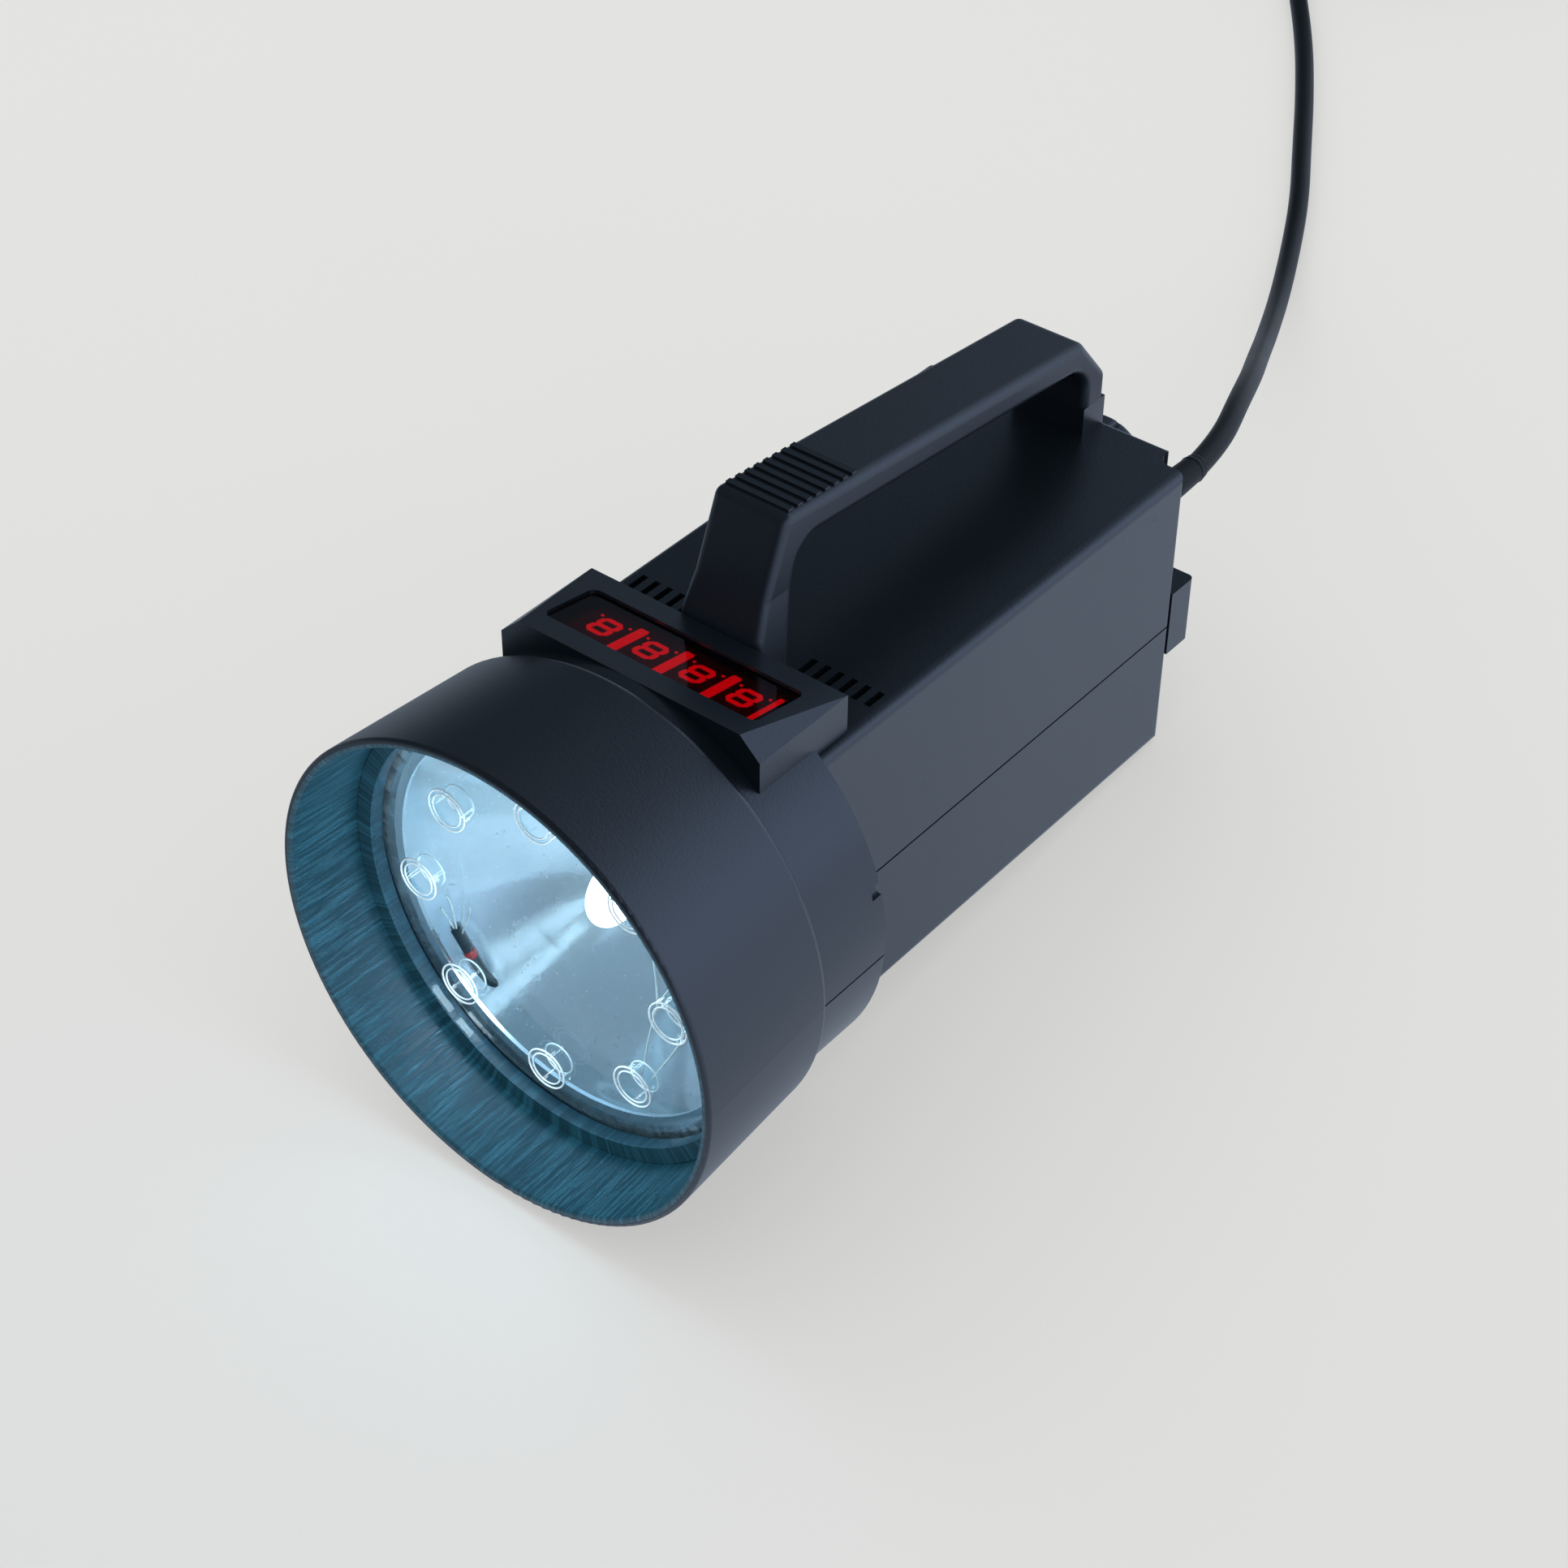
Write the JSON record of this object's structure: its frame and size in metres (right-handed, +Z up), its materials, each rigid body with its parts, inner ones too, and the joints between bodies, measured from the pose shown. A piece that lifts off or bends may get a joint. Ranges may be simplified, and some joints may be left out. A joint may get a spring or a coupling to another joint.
{
  "type": "xenon stroboscope",
  "caption": "Hand-held xenon flash stroboscope: round hooded lamp, box body with top handle and red rate display, rear control knobs, power rocker, mains lead with plug.",
  "frame": {"origin": "on the floor, centred under the lamp's bounding box without its mains lead", "axes": "+Z up, -Y towards the hood's open front, +X on the right of someone who faces the hood"},
  "size_m": [0.2206, 0.6795, 0.1292],
  "materials": {
    "housing_plastic": "fine satin grain, moulded",
    "hood_plastic": "satin, soft sheen",
    "trim_plastic": "smooth black",
    "clear_plastic": "clear, polished",
    "bowl_metal": "bright vapour-coated metal",
    "flash_glass": "clear quartz glass",
    "bright_metal": "nickel plated",
    "brass_metal": "turned",
    "steel_metal": "zinc plated",
    "red_filter": "dark red transparent plastic",
    "digit_plastic": "dark red segment modules",
    "board_plastic": "green circuit board",
    "core_metal": "stacked iron sheets",
    "winding_wire": "yellow tape over copper wire",
    "capacitor_sleeve": "blue sleeve",
    "ceramic_socket": "white ceramic",
    "chip_plastic": "black epoxy",
    "sink_metal": "anodised",
    "control_metal": "satin",
    "cord_rubber": "dark flexible sheath, slight sheen",
    "plug_rubber": "dark moulded"
  },
  "bodies": {
    "lamp": {"hood": "hood_plastic", "lens_ring": "hood_plastic", "front_window": "clear_plastic", "reflector": "bowl_metal", "flash_tube": "flash_glass", "tube_caps": "bright_metal", "lamp_socket": "ceramic_socket", "trigger_wire": "bright_metal", "lamp_board": "board_plastic", "upper_shell": "housing_plastic", "lower_shell": "housing_plastic", "shell_screws": "steel_metal", "stand_insert": "brass_metal", "handle_grip": "housing_plastic", "handle_screws": "steel_metal", "display_housing": "housing_plastic", "display_filter": "red_filter", "display_digits": "digit_plastic", "display_board": "board_plastic", "rear_panel": "trim_plastic", "coarse_control": "control_metal", "fine_control": "control_metal", "control_nuts": "bright_metal", "switch_housing": "trim_plastic", "switch_pin": "steel_metal", "trigger_socket": "bright_metal", "socket_nut": "bright_metal", "main_board": "board_plastic", "board_screws": "steel_metal", "transformer_core": "core_metal", "transformer_winding": "winding_wire", "flash_capacitor": "capacitor_sleeve", "smoothing_capacitors": "capacitor_sleeve", "trigger_coil": "winding_wire", "control_chips": "chip_plastic", "heat_sink": "sink_metal", "cord_gland": "cord_rubber", "cord_coil": "cord_rubber", "cord_lead": "cord_rubber", "cord_tail": "cord_rubber", "plug_body": "plug_rubber", "plug_pins": "bright_metal", "cord_tie": "trim_plastic"},
    "coarse_dial": {"coarse_knob": "trim_plastic", "coarse_shaft": "bright_metal"},
    "fine_dial": {"fine_knob": "trim_plastic", "fine_shaft": "bright_metal"},
    "power_rocker": {"switch_rocker": "trim_plastic"}
  },
  "joints": [
    {"name": "coarse_turn", "type": "hinge", "parent": "lamp", "child": "coarse_dial", "pos_m": [0, 0.0964, 0.05474], "axis": [0, 0.9937, -0.1121], "range_deg": [-140, 140]},
    {"name": "fine_turn", "type": "hinge", "parent": "lamp", "child": "fine_dial", "pos_m": [-0.0135, 0.09304, 0.02493], "axis": [0, 0.9937, -0.1121], "range_deg": [-140, 140]},
    {"name": "power_tilt", "type": "hinge", "parent": "lamp", "child": "power_rocker", "pos_m": [0.0125, 0.09125, 0.02513], "axis": [1, 0, 0], "range_deg": [-18, 0]}
  ]
}
